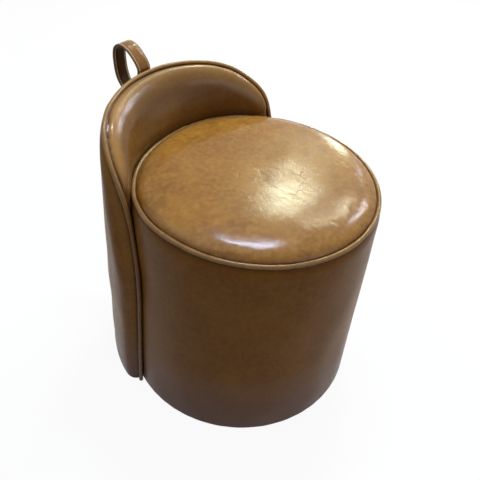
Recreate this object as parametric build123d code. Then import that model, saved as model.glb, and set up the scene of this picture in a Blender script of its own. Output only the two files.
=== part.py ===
from build123d import *
import os
from math import cos, degrees, hypot, pi, radians, sin, sqrt

os.makedirs("parts", exist_ok=True)

# Leather stool: a round padded drum with a wrap-round back shell and a pull loop behind it.
# X is to the side, Y runs from the front (-) to the back (+), Z is up, millimetres.

# Drum
drum_radius = 216.0
leather = 1.2
drum_foam_depth = 12.0
shell_thickness = 3.0
board_thickness = 18.0
vent_radius = 22.0
seat_edge_height = 410.0
seat_foam_side = 43.0
hem_width = 28.0
drum_top_drop = 20.0
dust_cloth = 0.8
dust_inset = 12.0
glide_height = 4.0
glide_radius = 13.0
glide_ring_radius = 150.0
glide_count = 5

# Frame posts and their screws
post_count = 6
post_width = 45.0
post_depth = 22.0
screw_radius = 2.0
screw_head_radius = 4.0
screw_head_height = 3.0
screw_length = 55.0
pin_radius = 0.8
pin_length = 14.0
pin_count = 12
hem_staple_inset = 6.0
hem_staple_radius = 0.7
hem_staple_length = 9.0
hem_staple_count = 24
nail_radius = 1.2
nail_head_radius = 3.0
nail_head_height = 1.2
nail_length = 16.0

# Seat
seat_crown = 24.0
seat_roll = 30.0
wadding = 6.0
piping_radius = 4.0
piping_cord_radius = 2.6
seat_piping_inset = 6.0

# Back shell: plan thickness at the middle and at the front edges, and the arch of its edge
back_rear_depth = 48.0
back_side_depth = 22.0
back_lean = 6.0
back_top_height = 516.0
back_side_height = 290.0
back_half_angle = 69.0
arch_power_share = 3.0
arch_root_share = 0.556
fit_gap = 0.3
piping_seat_gap = 0.1
piping_top_inset = 12.0
pad_face_inset = 4.0
pad_bulge = 9.0
pad_roll_start = 16.0
pad_roll_share = 0.55
outer_roll_share = 0.9
edge_land = 0.15
former_gap = 5.0
former_thickness = 9.0
former_inset = 20.0
former_height = 476.0
back_rest_gap = 5.0

# Back bolts
bolt_radius = 3.0
bolt_hole_gap = 0.25
bolt_head_radius = 5.5
bolt_head_height = 4.0
washer_radius = 9.0
washer_thickness = 1.6
bush_radius = 5.0
tee_flange_radius = 8.5
tee_flange_thickness = 1.6
tee_barrel_radius = 4.5
bolt_heights_share = (0.27, 0.72)

# Pull loop and its bracket
strap_width = 26.0
strap_ply = 1.7
loop_height = 109.0
loop_depth = 50.0
loop_bar_drop = 66.0
bar_radius = 2.5
bar_gap = 0.3
bar_stand_off = 7.0
bracket_leg_gap = 3.0
plate_width = 72.0
plate_height = 18.0
plate_thickness = 2.0
bracket_screw_radius = 1.75
bracket_screw_head_radius = 3.6
bracket_screw_head_height = 1.6
bracket_screw_length = 24.0
bracket_screw_share = 0.78
block_width = 80.0
block_height = 44.0
block_gap = 1.5

# Cuts run this far past what they cut
overrun = 20.0

# Levels and radii that follow
base_bottom = glide_height + dust_cloth + leather
base_top = base_bottom + board_thickness
top_board_top = seat_edge_height - seat_foam_side
top_board_bottom = top_board_top - board_thickness
foam_outer = drum_radius - leather
shell_outer = foam_outer - drum_foam_depth
shell_inner = shell_outer - shell_thickness
piping_ring_radius = drum_radius - seat_piping_inset
seat_side_radius = piping_ring_radius - piping_radius
drum_cover_top = seat_edge_height - piping_radius
hem_bottom = glide_height + dust_cloth
rest_height = seat_edge_height + back_rest_gap


pieces = {}


def save(node, shape):
    pieces[node] = shape


def ring_angles(count, first=0.0):
    return [first + 360.0 * k / count for k in range(count)]


def upright_cylinder(radius, bottom, top, x=0.0, y=0.0):
    body = Solid.make_cylinder(radius, top - bottom)
    return Pos(x, y, bottom) * body


def radial_cylinder(radius, start, end, angle, height):
    # A cylinder that points away from the drum's axis, between two distances from it.
    body = Solid.make_cylinder(radius, end - start)
    return Pos(0, 0, height) * Rot(0, 0, angle) * Rot(0, 90, 0) * Pos(0, 0, start) * body


def tube(outer, inner, bottom, top):
    return upright_cylinder(outer, bottom, top) - upright_cylinder(inner, bottom - overrun, top + overrun)


def turned(edges):
    # A profile in the XZ plane, turned once round the drum's axis.
    return revolve(make_face(Wire(edges)), Axis.Z)


def joined(shapes):
    return Compound(children=[solid for shape in shapes for solid in shape.solids()])


# Positions that several pieces share
post_angles = ring_angles(post_count, 360.0 / post_count / 2)
back_angles = [angle for angle in post_angles if 0 < angle < 180]
post_centre = shell_inner - post_depth / 2
post_face = shell_inner - post_depth
bolt_heights = [share * seat_edge_height for share in bolt_heights_share]
former_inner = drum_radius + former_gap
former_outer = former_inner + former_thickness
former_mid = former_inner + former_thickness / 2
screw_spots = [(post_centre * cos(radians(a)), post_centre * sin(radians(a))) for a in post_angles]
pin_angles = ring_angles(pin_count, 180.0 / pin_count)
pin_heights = [base_bottom + board_thickness / 2, top_board_top - board_thickness / 2]
glide_angles = ring_angles(glide_count, 270.0)
glide_spots = [(glide_ring_radius * cos(radians(a)), glide_ring_radius * sin(radians(a))) for a in glide_angles]
hem_staple_ring = shell_inner - hem_staple_inset
hem_angles = ring_angles(hem_staple_count, 180.0 / hem_staple_count)
hem_spots = [(hem_staple_ring * cos(radians(a)), hem_staple_ring * sin(radians(a))) for a in hem_angles]


def bolt_cut(radius, start, end):
    # The same cylinder at each of the back's bolts.
    return [radial_cylinder(radius, start, end, a, h) for a in back_angles for h in bolt_heights]


# Feet, base and dust cloth
nails = []
glides = []
for x, y in glide_spots:
    head_bottom = (glide_height - nail_head_height) / 2
    head_top = head_bottom + nail_head_height
    shank = upright_cylinder(nail_radius, head_top, head_top + nail_length, x, y)
    nails.append(shank + upright_cylinder(nail_head_radius, head_bottom, head_top, x, y))
    glide = upright_cylinder(glide_radius, 0, glide_height, x, y)
    glide -= upright_cylinder(nail_head_radius, -overrun, head_top, x, y)
    glides.append(glide - upright_cylinder(nail_radius, 0, glide_height + overrun, x, y))
save("glides", joined(glides))
save("glide_nails", joined(nails))
nail_cut = [upright_cylinder(nail_radius, 0, head_top + nail_length, x, y) for x, y in glide_spots]

dust_cover = upright_cylinder(drum_radius - dust_inset, glide_height, hem_bottom) - nail_cut
save("dust_cover", dust_cover)

# Boards, posts and screws
low_screws = []
high_screws = []
for x, y in screw_spots:
    head_top = base_bottom + screw_head_height
    head = upright_cylinder(screw_head_radius, base_bottom, head_top, x, y)
    low_screws.append(head + upright_cylinder(screw_radius, base_bottom, base_bottom + screw_length, x, y))
    head_bottom = top_board_top - screw_head_height
    head = upright_cylinder(screw_head_radius, head_bottom, top_board_top, x, y)
    high_screws.append(head + upright_cylinder(screw_radius, top_board_top - screw_length, top_board_top, x, y))
frame_screws = joined(low_screws + high_screws)
save("frame_screws", frame_screws)

hem_staples = [
    upright_cylinder(hem_staple_radius, hem_bottom, hem_bottom + hem_staple_length, x, y) for x, y in hem_spots
]
save("hem_staples", joined(hem_staples))

# The pins' outer ends follow the shell.
pin_start = shell_outer - pin_length
shell_pins = [radial_cylinder(pin_radius, pin_start, shell_outer, a, h) for a in pin_angles for h in pin_heights]
shell_pins = [pin & upright_cylinder(shell_outer, 0, top_board_top) for pin in shell_pins]
save("shell_pins", joined(shell_pins))

base_board = upright_cylinder(shell_inner, base_bottom, base_top)
base_board = base_board - nail_cut - low_screws - hem_staples - shell_pins
save("base_board", base_board)

top_board = tube(shell_inner, vent_radius, top_board_bottom, top_board_top)
top_board = top_board - high_screws - shell_pins
save("top_board", top_board)

post_height = top_board_bottom - base_top
post_round = upright_cylinder(shell_inner, base_top, top_board_bottom)
posts = []
for angle in post_angles:
    post = Pos(0, 0, base_top + post_height / 2) * Rot(0, 0, angle) * Pos(post_centre, 0, 0)
    post = post * Box(post_depth, post_width, post_height)
    posts.append(post & post_round)
bolt_hole_radius = bolt_radius + bolt_hole_gap
bolt_clear = bolt_cut(bolt_hole_radius, post_face - overrun, former_inner)
uprights = joined(posts) - low_screws - high_screws - bolt_clear
save("uprights", uprights)

drum_shell = tube(shell_outer, shell_inner, base_bottom, top_board_top) - shell_pins - bolt_clear
save("drum_shell", drum_shell)

# Bushes carry the bolts' pull through the soft layers, from the drum's shell to the back's former.
bush_end = sqrt(former_inner**2 - bush_radius**2)
bush_cut = bolt_cut(bush_radius, shell_inner, former_inner + overrun)
bushes = bolt_cut(bush_radius, shell_outer, bush_end)
save("bolt_bushes", joined(bushes) - bolt_clear)

# Drum foam and its cover, drawn in under the seat's piping
pull_in_radius = piping_ring_radius + seat_piping_inset / 3
pull_in_start = drum_cover_top - drum_top_drop


def drum_profile(inset, inner, bottom):
    # The side of the drum: straight, then an arc in to the piping.
    side = drum_radius - inset
    top = drum_cover_top - inset
    tip = pull_in_radius - inset
    middle_x = side + (tip - side) * 0.30
    middle_z = pull_in_start + (top - pull_in_start) * 0.60
    return [
        Line((inner, 0, bottom), (side, 0, bottom)),
        Line((side, 0, bottom), (side, 0, pull_in_start)),
        ThreePointArc((side, 0, pull_in_start), (middle_x, 0, middle_z), (tip, 0, top)),
        Line((tip, 0, top), (inner, 0, top)),
        Line((inner, 0, top), (inner, 0, bottom)),
    ]


foam_round = turned(drum_profile(leather, shell_outer, base_bottom))
seat_well = upright_cylinder(seat_side_radius, top_board_top, seat_edge_height)
drum_foam = foam_round - seat_well - bush_cut
save("drum_foam", drum_foam)

cover_round = turned(drum_profile(0, drum_radius - hem_width, hem_bottom))
cover_core = turned(drum_profile(leather, drum_radius - hem_width - overrun, base_bottom))
cover_well = upright_cylinder(seat_side_radius, base_bottom, seat_edge_height)
drum_cover = cover_round - cover_core - cover_well - bush_cut - hem_staples
save("drum_cover", drum_cover)


# Seat: block foam, wadding and leather under one crowned profile
def seat_profile(inset):
    # Up the side, round the rim and over the shallow crown to the axis.
    side = seat_side_radius - inset
    crown = seat_edge_height + seat_crown - inset
    rim_x = side - (seat_roll - inset)
    rim_z = seat_edge_height + (seat_crown - inset) * 0.80
    turn_x = side - (seat_roll - inset) * 0.26
    turn_z = seat_edge_height + (seat_crown - inset) * 0.55
    # The crown is part of a ball whose centre lies on the axis.
    ball = (rim_x**2 + (crown - rim_z) ** 2) / (2 * (crown - rim_z))
    half_x = rim_x / 2
    half_z = crown - ball + sqrt(ball**2 - half_x**2)
    return [
        Line((0, 0, top_board_top), (side, 0, top_board_top)),
        Line((side, 0, top_board_top), (side, 0, seat_edge_height)),
        ThreePointArc((side, 0, seat_edge_height), (turn_x, 0, turn_z), (rim_x, 0, rim_z)),
        ThreePointArc((rim_x, 0, rim_z), (half_x, 0, half_z), (0, 0, crown)),
        Line((0, 0, crown), (0, 0, top_board_top)),
    ]


seat_outer = turned(seat_profile(0))
seat_under_cover = turned(seat_profile(leather))
seat_foam = turned(seat_profile(leather + wadding))
save("seat_foam", seat_foam)
save("seat_wadding", seat_under_cover - seat_foam)
save("seat_cover", seat_outer - seat_under_cover)

ring_place = Plane((piping_ring_radius, 0, seat_edge_height), x_dir=(1, 0, 0), z_dir=(0, -1, 0))
seat_piping_round = revolve(ring_place * Circle(piping_radius), Axis.Z)
seat_piping_cord = revolve(ring_place * Circle(piping_cord_radius), Axis.Z)
save("seat_piping", seat_piping_round - seat_piping_cord)
save("seat_piping_cord", seat_piping_cord)

# The back's edge, where its piping runs. Angles are from the middle of the back, +Y.
piping_side_radius = drum_radius + fit_gap + piping_radius
piping_top_radius = drum_radius + back_rear_depth + back_lean - piping_top_inset
arch_rise = back_top_height - back_side_height


def smooth(value):
    value = min(max(value, 0.0), 1.0)
    return value * value * (3 - 2 * value)


def piping_radius_at(height):
    return piping_side_radius + (piping_top_radius - piping_side_radius) * smooth(
        (height - seat_edge_height) / (back_top_height - seat_edge_height)
    )


def arch_height(share):
    return back_side_height + arch_rise * (1 - abs(share) ** arch_power_share) ** arch_root_share


arch_steps = 22
half_edge = []
for k in range(arch_steps + 1):
    share = 1 - (1 - k / arch_steps) ** 2
    half_edge.append((back_half_angle * share, arch_height(share)))
straight_steps = 1
for k in range(1, straight_steps + 1):
    height = back_side_height + (glide_height - back_side_height) * k / straight_steps
    half_edge.append((back_half_angle, height))

# The edge laid out flat, as arc length along the piping's side radius against height
flat_edge = [(radians(angle) * piping_side_radius, height) for angle, height in half_edge]
flat_edge = [(-flat_edge[1][0], flat_edge[1][1])] + flat_edge
flat_edge.append((flat_edge[-1][0], -back_top_height))


def edge_distance(angle, height):
    # How far a point of the back lies inside its edge, less the piping that sits there.
    s = radians(abs(angle)) * piping_side_radius
    nearest = None
    for (s0, z0), (s1, z1) in zip(flat_edge, flat_edge[1:]):
        ds = s1 - s0
        dz = z1 - z0
        along = ((s - s0) * ds + (height - z0) * dz) / (ds * ds + dz * dz)
        along = min(max(along, 0.0), 1.0)
        away = hypot(s - s0 - along * ds, height - z0 - along * dz)
        if nearest is None or away < nearest:
            nearest = away
    return nearest - piping_radius - piping_seat_gap


def top_at(angle, inset):
    # The highest point at an angle that lies inside the edge by the inset.
    low = glide_height
    high = arch_height(min(abs(angle) / back_half_angle, 1.0))
    for _ in range(40):
        middle = (low + high) / 2
        if edge_distance(angle, middle) > inset:
            low = middle
        else:
            high = middle
    return low


def outer_radius_at(angle, height):
    spread = (cos(radians(angle)) - cos(radians(back_half_angle))) / (1 - cos(radians(back_half_angle)))
    depth = back_side_depth + (back_rear_depth - back_side_depth) * spread
    return drum_radius + depth + back_lean * smooth(height / seat_edge_height)


def pad_face_at(height):
    # The inner pad's face: drawn in over the seat, fullest halfway up, then falling back.
    up = smooth((height - rest_height) / (back_top_height - rest_height))
    bulge = pad_bulge * sin(pi * min(max((height - rest_height) / (back_top_height - rest_height), 0.0), 1.0))
    return drum_radius - pad_face_inset - bulge + (pad_face_inset + pad_bulge) * up


def roll(share):
    share = min(max(share, 0.0), 1.0)
    return sqrt(1 - (1 - share) ** 2)


inner_levels_share = (0.0, 0.80, 0.865, 0.91, 0.95, 0.98)
outer_levels_share = (0.988, 0.96, 0.92, 0.80, 0.40, 0.0)
stations_share = (0.0, 0.17, 0.34, 0.50, 0.63, 0.74, 0.83, 0.91, 1.0)
edge_stations_share = (1.0, 0.55, 0.25, 0.07, 0.0)


def back_section(angle, inset):
    # The back's outline in the upright plane at an angle, drawn in by the inset all round.
    reach = edge_land + inset
    top = top_at(angle, reach)
    bottom = glide_height + inset
    points = []
    for share in inner_levels_share:
        height = bottom + (top - bottom) * share
        crest = piping_radius_at(height)
        face = pad_face_at(height) + inset
        depth = pad_roll_start + pad_roll_share * (crest - face)
        radius = crest - (crest - face) * roll((edge_distance(angle, height) - inset) / depth)
        points.append((radius, height))
    points.append((piping_radius_at(top), top))
    for share in outer_levels_share:
        height = bottom + (top - bottom) * share
        crest = piping_radius_at(height)
        side = outer_radius_at(angle, height) - inset
        depth = outer_roll_share * (outer_radius_at(angle, height) - crest)
        radius = crest + (side - crest) * roll((edge_distance(angle, height) - inset) / depth)
        points.append((radius, height))
    turn = radians(angle)
    return [(r * sin(turn), r * cos(turn), z) for r, z in points]


def back_angles_for(inset):
    # Stations round the back, closer together where its front edges turn.
    end = back_half_angle - degrees((piping_radius + piping_seat_gap + 2 * edge_land + inset) / piping_side_radius)
    turn = degrees((back_side_depth + edge_land) / piping_side_radius)
    half = [share * (end - turn) for share in stations_share[:-1]]
    half += [end - turn * share for share in edge_stations_share]
    return [-angle for angle in reversed(half[1:])] + half


def lofted(sections):
    wires = [Wire.make_polygon([Vector(*p) for p in points], close=True) for points in sections]
    return Solid.make_loft(wires, True)


def back_body(inset):
    # The whole back, drawn in by the inset, clear of the drum and of the seat's edge.
    body = lofted([back_section(angle, inset) for angle in back_angles_for(inset)])
    return body - upright_cylinder(drum_radius + fit_gap + inset, -overrun, rest_height + inset)


back_full = back_body(0)
back_core = back_body(leather)

# Bent plywood former, cut to the arch
former_end = back_half_angle - degrees((piping_radius + former_inset) / piping_side_radius)
cut_inner = former_inner - overrun
cut_outer = former_outer + overrun
former_cut = []
for angle in back_angles_for(former_inset):
    top = min(top_at(angle, former_inset), former_height)
    turn = radians(angle)
    corners = [(cut_inner, -overrun), (cut_inner, top), (cut_outer, top), (cut_outer, -overrun)]
    former_cut.append([(r * sin(turn), r * cos(turn), z) for r, z in corners])
former_bottom = glide_height + leather
former_round = tube(former_outer, former_inner, former_bottom, back_top_height)
former_solid = former_round & lofted(former_cut)

bolt_end = former_outer + tee_flange_thickness
tee_barrels = bolt_cut(tee_barrel_radius, former_inner, former_outer)
tee_flanges = bolt_cut(tee_flange_radius, former_outer, bolt_end)
bolt_shanks = bolt_cut(bolt_radius, post_face - washer_thickness, bolt_end)
head_face = post_face - washer_thickness
bolt_heads = bolt_cut(bolt_head_radius, head_face - bolt_head_height, head_face)
bolts = [shank + head for shank, head in zip(bolt_shanks, bolt_heads)]
save("back_bolts", joined(bolts))
washers = joined(bolt_cut(washer_radius, head_face, post_face)) - bolt_cut(bolt_radius, head_face, post_face)
save("bolt_washers", washers)
barrel_round = upright_cylinder(former_inner, 0, back_top_height)
tee_rounds = [barrel + flange for barrel, flange in zip(tee_barrels, tee_flanges)]
tees = [tee - barrel_round - shank for tee, shank in zip(tee_rounds, bolt_shanks)]
save("tee_nuts", joined(tees))

# Pull loop's bracket: a plate on the back's leather, with a bar that the loop goes round
bar_height = back_top_height - loop_bar_drop
plate_inner = outer_radius_at(0, bar_height) + piping_seat_gap
plate_outer = plate_inner + plate_thickness
bar_reach = plate_outer + bar_stand_off
leg_place = strap_width / 2 + bracket_leg_gap + bar_radius


def block_of(width, depth, height, x, y, z):
    return Pos(x, y, z) * Box(width, depth, height)


plate = block_of(plate_width, plate_thickness, plate_height, 0, (plate_inner + plate_outer) / 2, bar_height)
bar = Pos(-leg_place, bar_reach, bar_height) * Rot(0, 90, 0) * Solid.make_cylinder(bar_radius, 2 * leg_place)
legs = []
for side in (-1, 1):
    leg = Rot(-90, 0, 0) * Solid.make_cylinder(bar_radius, bar_reach - plate_outer)
    leg = Pos(side * leg_place, plate_outer, bar_height) * leg
    legs.append(leg + Pos(side * leg_place, bar_reach, bar_height) * Solid.make_sphere(bar_radius))
screw_place = bracket_screw_share * plate_width / 2
bracket_screws = []
for side in (-1, 1):
    shank = Rot(-90, 0, 0) * Solid.make_cylinder(bracket_screw_radius, bracket_screw_length)
    shank = Pos(side * screw_place, plate_outer - bracket_screw_length, bar_height) * shank
    head = Rot(-90, 0, 0) * Solid.make_cylinder(bracket_screw_head_radius, bracket_screw_head_height)
    bracket_screws.append(shank + Pos(side * screw_place, plate_outer, bar_height) * head)
save("bracket_screws", joined(bracket_screws))
strap_bracket = plate + bar + legs[0] + legs[1] - bracket_screws
save("strap_bracket", strap_bracket)

block_outer = sqrt((outer_radius_at(0, bar_height) - leather) ** 2 - (block_width / 2) ** 2) - block_gap
block_depth = block_outer - former_mid
strap_block = block_of(block_width, block_depth, block_height, 0, former_mid + block_depth / 2, bar_height)
strap_block -= upright_cylinder(former_outer, 0, back_top_height)
save("strap_block", strap_block - bracket_screws)

save("back_former", former_solid - bolt_cut(tee_barrel_radius, former_inner - overrun, former_outer + overrun))

# Foam on both sides of the former, parted over its top on the former's middle line
pad_round = upright_cylinder(former_mid, 0, back_top_height)
pads = back_core - former_solid
inner_pad = (pads & pad_round) - bush_cut
outer_pad = pads - pad_round - strap_block - bracket_screws - tee_barrels - tee_flanges - bolt_shanks
save("back_inner_pad", inner_pad)
save("back_outer_pad", outer_pad)

# Leather, parted under the piping
edge_plan = [(0.0, 0.0)]
whole_edge = [(-angle, height) for angle, height in reversed(half_edge)] + half_edge[1:]
arch_edge = whole_edge[straight_steps : len(whole_edge) - straight_steps]
for angle, height in arch_edge:
    turn = radians(angle)
    radius = piping_radius_at(height)
    edge_plan.append((radius * sin(turn), radius * cos(turn)))
plan_face = make_face(Polyline(edge_plan, close=True))
inner_side = extrude(plan_face, back_top_height + overrun)
back_skin = back_full - back_core
inner_cover = (back_skin & inner_side) - bush_cut
outer_cover = back_skin - inner_side - bracket_screws
save("back_inner_cover", inner_cover)
save("back_outer_cover", outer_cover)

# Piping round the back's edge: rings square to the run, lofted straight from one to the next
ring_sides = 8
edge_points = []
for angle, height in whole_edge:
    turn = radians(angle)
    radius = piping_radius_at(height)
    edge_points.append(Vector(radius * sin(turn), radius * cos(turn), height))


def welt(radius):
    rings = []
    last = len(edge_points) - 1
    for k, point in enumerate(edge_points):
        run = (edge_points[min(k + 1, last)] - edge_points[max(k - 1, 0)]).normalized()
        outward = Vector(point.X, point.Y, 0).normalized()
        outward = (outward - run * outward.dot(run)).normalized()
        across = run.cross(outward)
        ring = []
        for side in range(ring_sides):
            turn = 2 * pi * side / ring_sides
            ring.append(point + outward * (radius * cos(turn)) + across * (radius * sin(turn)))
        rings.append(Wire.make_polygon(ring, close=True))
    return Solid.make_loft(rings, True)


back_cord = welt(piping_cord_radius)
save("back_piping_cord", back_cord)
save("back_piping", welt(piping_radius) - back_cord)

# Pull loop: a closed strap of two plies round the bracket's bar, drawn in the middle plane
eye_radius = bar_radius + bar_gap + strap_ply
loop_share = (
    (-0.091, 0.030),
    (-0.092, 0.080),
    (-0.094, 0.160),
    (-0.105, 0.270),
    (-0.118, 0.380),
    (-0.136, 0.470),
    (-0.164, 0.550),
    (-0.196, 0.620),
    (-0.190, 0.690),
    (-0.110, 0.765),
    (0.020, 0.840),
    (0.190, 0.915),
    (0.390, 0.970),
    (0.600, 0.990),
    (0.800, 0.950),
    (0.935, 0.860),
    (0.990, 0.740),
    (0.985, 0.600),
    (0.940, 0.460),
    (0.850, 0.330),
    (0.720, 0.218),
    (0.550, 0.124),
    (0.380, 0.058),
    (0.240, 0.014),
    (0.130, -0.014),
)
eye_angles = (-62.0, -90.0, -120.0, -150.0, -180.0)
control = [(y * loop_depth, z * loop_height) for y, z in loop_share]
control += [(eye_radius * cos(radians(a)), eye_radius * sin(radians(a))) for a in eye_angles]


def closed_curve(points, steps):
    # A smooth closed run through the points, each piece a cubic of its four neighbours.
    curve = []
    count = len(points)
    for k in range(count):
        p0, p1, p2, p3 = (points[(k + j - 1) % count] for j in range(4))
        for step in range(steps):
            t = step / steps
            weights = (
                (-t + 2 * t**2 - t**3) / 2,
                (2 - 5 * t**2 + 3 * t**3) / 2,
                (t + 4 * t**2 - 3 * t**3) / 2,
                (-(t**2) + t**3) / 2,
            )
            curve.append(tuple(sum(w * p[i] for w, p in zip(weights, (p0, p1, p2, p3))) for i in range(2)))
    return curve


def moved_out(curve, distance):
    # The curve moved square to itself, away from the loop's inside.
    count = len(curve)
    moved = []
    for k, (y, z) in enumerate(curve):
        dy = curve[(k + 1) % count][0] - curve[k - 1][0]
        dz = curve[(k + 1) % count][1] - curve[k - 1][1]
        size = hypot(dy, dz)
        moved.append((y - dz / size * distance, z + dy / size * distance))
    return moved


loop_run = closed_curve(control, 2)


def loop_solid(distance):
    corners = [Vector(0, bar_reach + y, bar_height + z) for y, z in moved_out(loop_run, distance)]
    face = Face(Wire.make_polygon(corners, close=True))
    return extrude(face, strap_width / 2, Vector(1, 0, 0), both=True)


strap_outer_round = loop_solid(strap_ply)
strap_middle_round = loop_solid(0)
strap_inner_round = loop_solid(-strap_ply)
save("strap_leather", strap_outer_round - strap_middle_round)
save("strap_lining", strap_middle_round - strap_inner_round)

# The origin is on the floor, in the middle of the whole object's footprint.
loop_rear = bar_reach + max(y for y, z in moved_out(loop_run, strap_ply))
origin_y = (loop_rear - drum_radius) / 2
for node, shape in pieces.items():
    export_step(Pos(0, -origin_y, 0) * shape, os.path.join("parts", node + ".step"))
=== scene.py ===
import math
import bpy
import numpy as np
from mathutils import Matrix, Vector


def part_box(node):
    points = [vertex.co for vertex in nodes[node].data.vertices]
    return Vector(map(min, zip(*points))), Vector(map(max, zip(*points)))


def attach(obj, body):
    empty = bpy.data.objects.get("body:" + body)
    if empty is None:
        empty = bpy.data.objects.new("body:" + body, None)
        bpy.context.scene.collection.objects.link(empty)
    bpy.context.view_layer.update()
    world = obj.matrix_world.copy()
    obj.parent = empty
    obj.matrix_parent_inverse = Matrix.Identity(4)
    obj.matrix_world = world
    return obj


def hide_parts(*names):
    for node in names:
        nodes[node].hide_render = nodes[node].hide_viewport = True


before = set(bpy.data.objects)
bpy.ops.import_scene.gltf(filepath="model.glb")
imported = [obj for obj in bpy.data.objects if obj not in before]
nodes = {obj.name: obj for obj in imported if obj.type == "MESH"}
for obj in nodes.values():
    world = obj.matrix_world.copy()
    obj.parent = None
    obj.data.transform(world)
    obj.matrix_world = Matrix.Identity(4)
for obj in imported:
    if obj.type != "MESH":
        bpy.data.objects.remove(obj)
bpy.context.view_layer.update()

ringLow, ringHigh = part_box("seat_piping")
axisY = (ringLow[1] + ringHigh[1]) / 2      # the drum's upright axis stands at x 0 and this y
print("stool: frame loaded,", len(nodes), "nodes")

# Sizes are in millimetres from the drum's axis and the floor. Angles are degrees from the middle of the back.
drum = {
    "radius": 216.0, "tipRadius": 211.6, "top": 406.0, "wallTop": 386.0, "floor": 4.8, "foot": 4.5, "hem": 28.0,
    "leather": 1.2, "foamInset": 2.0, "foamBottom": 7.2,
}
seat = {
    "edgeZ": 410.0, "side": 206.0, "crown": 24.0, "bottomZ": 367.0, "pipingRing": 210.0, "piping": 4.0, "cord": 2.6,
    "middle": 0.012,    # the innermost ring, as a share of the radius
}
back = {
    "halfAngle": 69.0, "topZ": 516.0, "floor": 4.0, "crestSide": 220.3, "drumFit": 216.3, "restZ": 407.2,
    "padZ": 415.0, "sideDepth": 22.0, "rearDepth": 48.0, "lean": 6.0, "formerFront": 224.8, "formerRear": 225.8,
    # what the piping takes of the sheet, the strip that the leathers keep off it, and half its slot at the crest
    "pipingRoom": 4.1, "edgeLand": 0.15, "slot": 1.25,
    # the edge: how far round it stands at each height, and how far from the axis
    "arch": ((0, 516), (9, 515.3), (18, 512.6), (26, 508.2), (32, 503.4), (37.3, 496.8), (42.5, 487.0), (48, 473.0),
             (51.8, 460.6), (54.5, 448.4), (56.5, 434.0), (57.8, 419), (59.0, 402), (61.2, 374), (63.8, 343),
             (66.5, 309), (68.4, 274), (69, 235), (69, 190)),
    "crest": ((0, 220.3), (300, 220.3), (345, 220.8), (363, 221.9), (381, 223.8), (401, 226.8), (414, 229.4),
              (425, 232.0), (440, 235.8), (456, 240.4), (468, 244.2), (482, 249.0), (493, 253.0), (505, 256.6),
              (516, 258), (530, 258)),
}


# Shared maths, all on whole arrays

def smoothStep(t):
    # 0 below 0, 1 above 1, and 3t2 - 2t3 between
    t = np.clip(t, 0.0, 1.0)
    return t * t * (3 - 2 * t)


def quarterRound(t):
    # a quarter circle: rises steeply from 0 and lands level at 1
    t = np.clip(t, 0.0, 1.0)
    return np.sqrt(1 - (1 - t) ** 2)


def smoothCurve(knots, steps=24, closed=False):
    # a smooth line through points: each stretch is a cubic of its four neighbours
    knots = np.asarray(knots, float)
    before, after = (knots[-1:], knots[:2]) if closed else (2 * knots[0] - knots[1], 2 * knots[-1] - knots[-2])
    around = np.vstack([before, knots, after])
    t = np.linspace(0, 1, steps, endpoint=False)[None, :, None]
    p0, p1, p2, p3 = (around[j:len(around) - 3 + j][:, None] for j in range(4))
    line = (p0 * (-t + 2 * t ** 2 - t ** 3) + p1 * (2 - 5 * t ** 2 + 3 * t ** 3)
            + p2 * (t + 4 * t ** 2 - 3 * t ** 3) + p3 * (t ** 3 - t ** 2)) / 2
    return np.vstack([line.reshape(-1, 2), knots[:1] if closed else knots[-1:]])


def unit(vectors):
    return vectors / np.linalg.norm(vectors, axis=-1, keepdims=True)


def lengthAlong(path):
    # how far along its line each point of a path lies
    return np.append(0, np.cumsum(np.linalg.norm(np.diff(path, axis=0), axis=1)))


def pointsAt(at, length, path, **more):
    return np.stack([np.interp(at, length, values, **more) for values in path.T], axis=-1)


def softField(points, size, seed, count=14):
    # a smooth random field of spread 1: plane waves about `size` long, each in its own direction, added up
    rng = np.random.default_rng(seed)
    total = np.zeros(points.shape[:-1])
    for _ in range(count):
        direction = unit(rng.normal(size=3))
        length = size * rng.uniform(0.7, 1.6)
        total += np.sin(points @ direction * (2 * np.pi / length) + rng.uniform(0, 2 * np.pi))
    return total / math.sqrt(count / 2)


def seatPush(angle):
    # how far the back presses the seat's edge in, by angle
    a = (angle + 180.0) % 360.0 - 180.0
    at = [-92, -74, -57, -43, -23, -6, 8, 17, 26, 34, 44, 58, 76]
    by = [0, -1.7, -0.8, 3.6, 8.5, 11, 9.5, 7.5, 4.5, 2.5, 2.2, 1.0, 0]
    return np.interp(a, at, by)


def placed(radius, angle, z):
    # cylinder coordinates about the drum's axis, as points in millimetres
    turn = np.radians(angle)
    return np.stack([radius * np.sin(turn), radius * np.cos(turn), z + 0 * radius], axis=-1)


def gridFaces(rows, cols, wrapRows=False, wrapCols=False):
    # quads between the neighbours of a rows x cols grid
    i = np.arange(rows if wrapRows else rows - 1)[:, None]
    j = np.arange(cols if wrapCols else cols - 1)
    row, nextRow, nextCol = i * cols, (i + 1) % rows * cols, (j + 1) % cols
    return np.stack([row + j, row + nextCol, nextRow + nextCol, nextRow + j], axis=-1).reshape(-1, 4)


def addObject(name, data):
    made = bpy.data.objects.new(name, data)
    bpy.context.scene.collection.objects.link(made)
    return made


def ringAngles(count):
    return np.linspace(-180.0, 180.0, count, endpoint=False)


def addLayer(mesh, name, values):
    layer = mesh.attributes.new(name, "FLOAT", "POINT")
    layer.data.foreach_set("value", np.ascontiguousarray(values.reshape(-1), dtype=np.float32))


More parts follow.
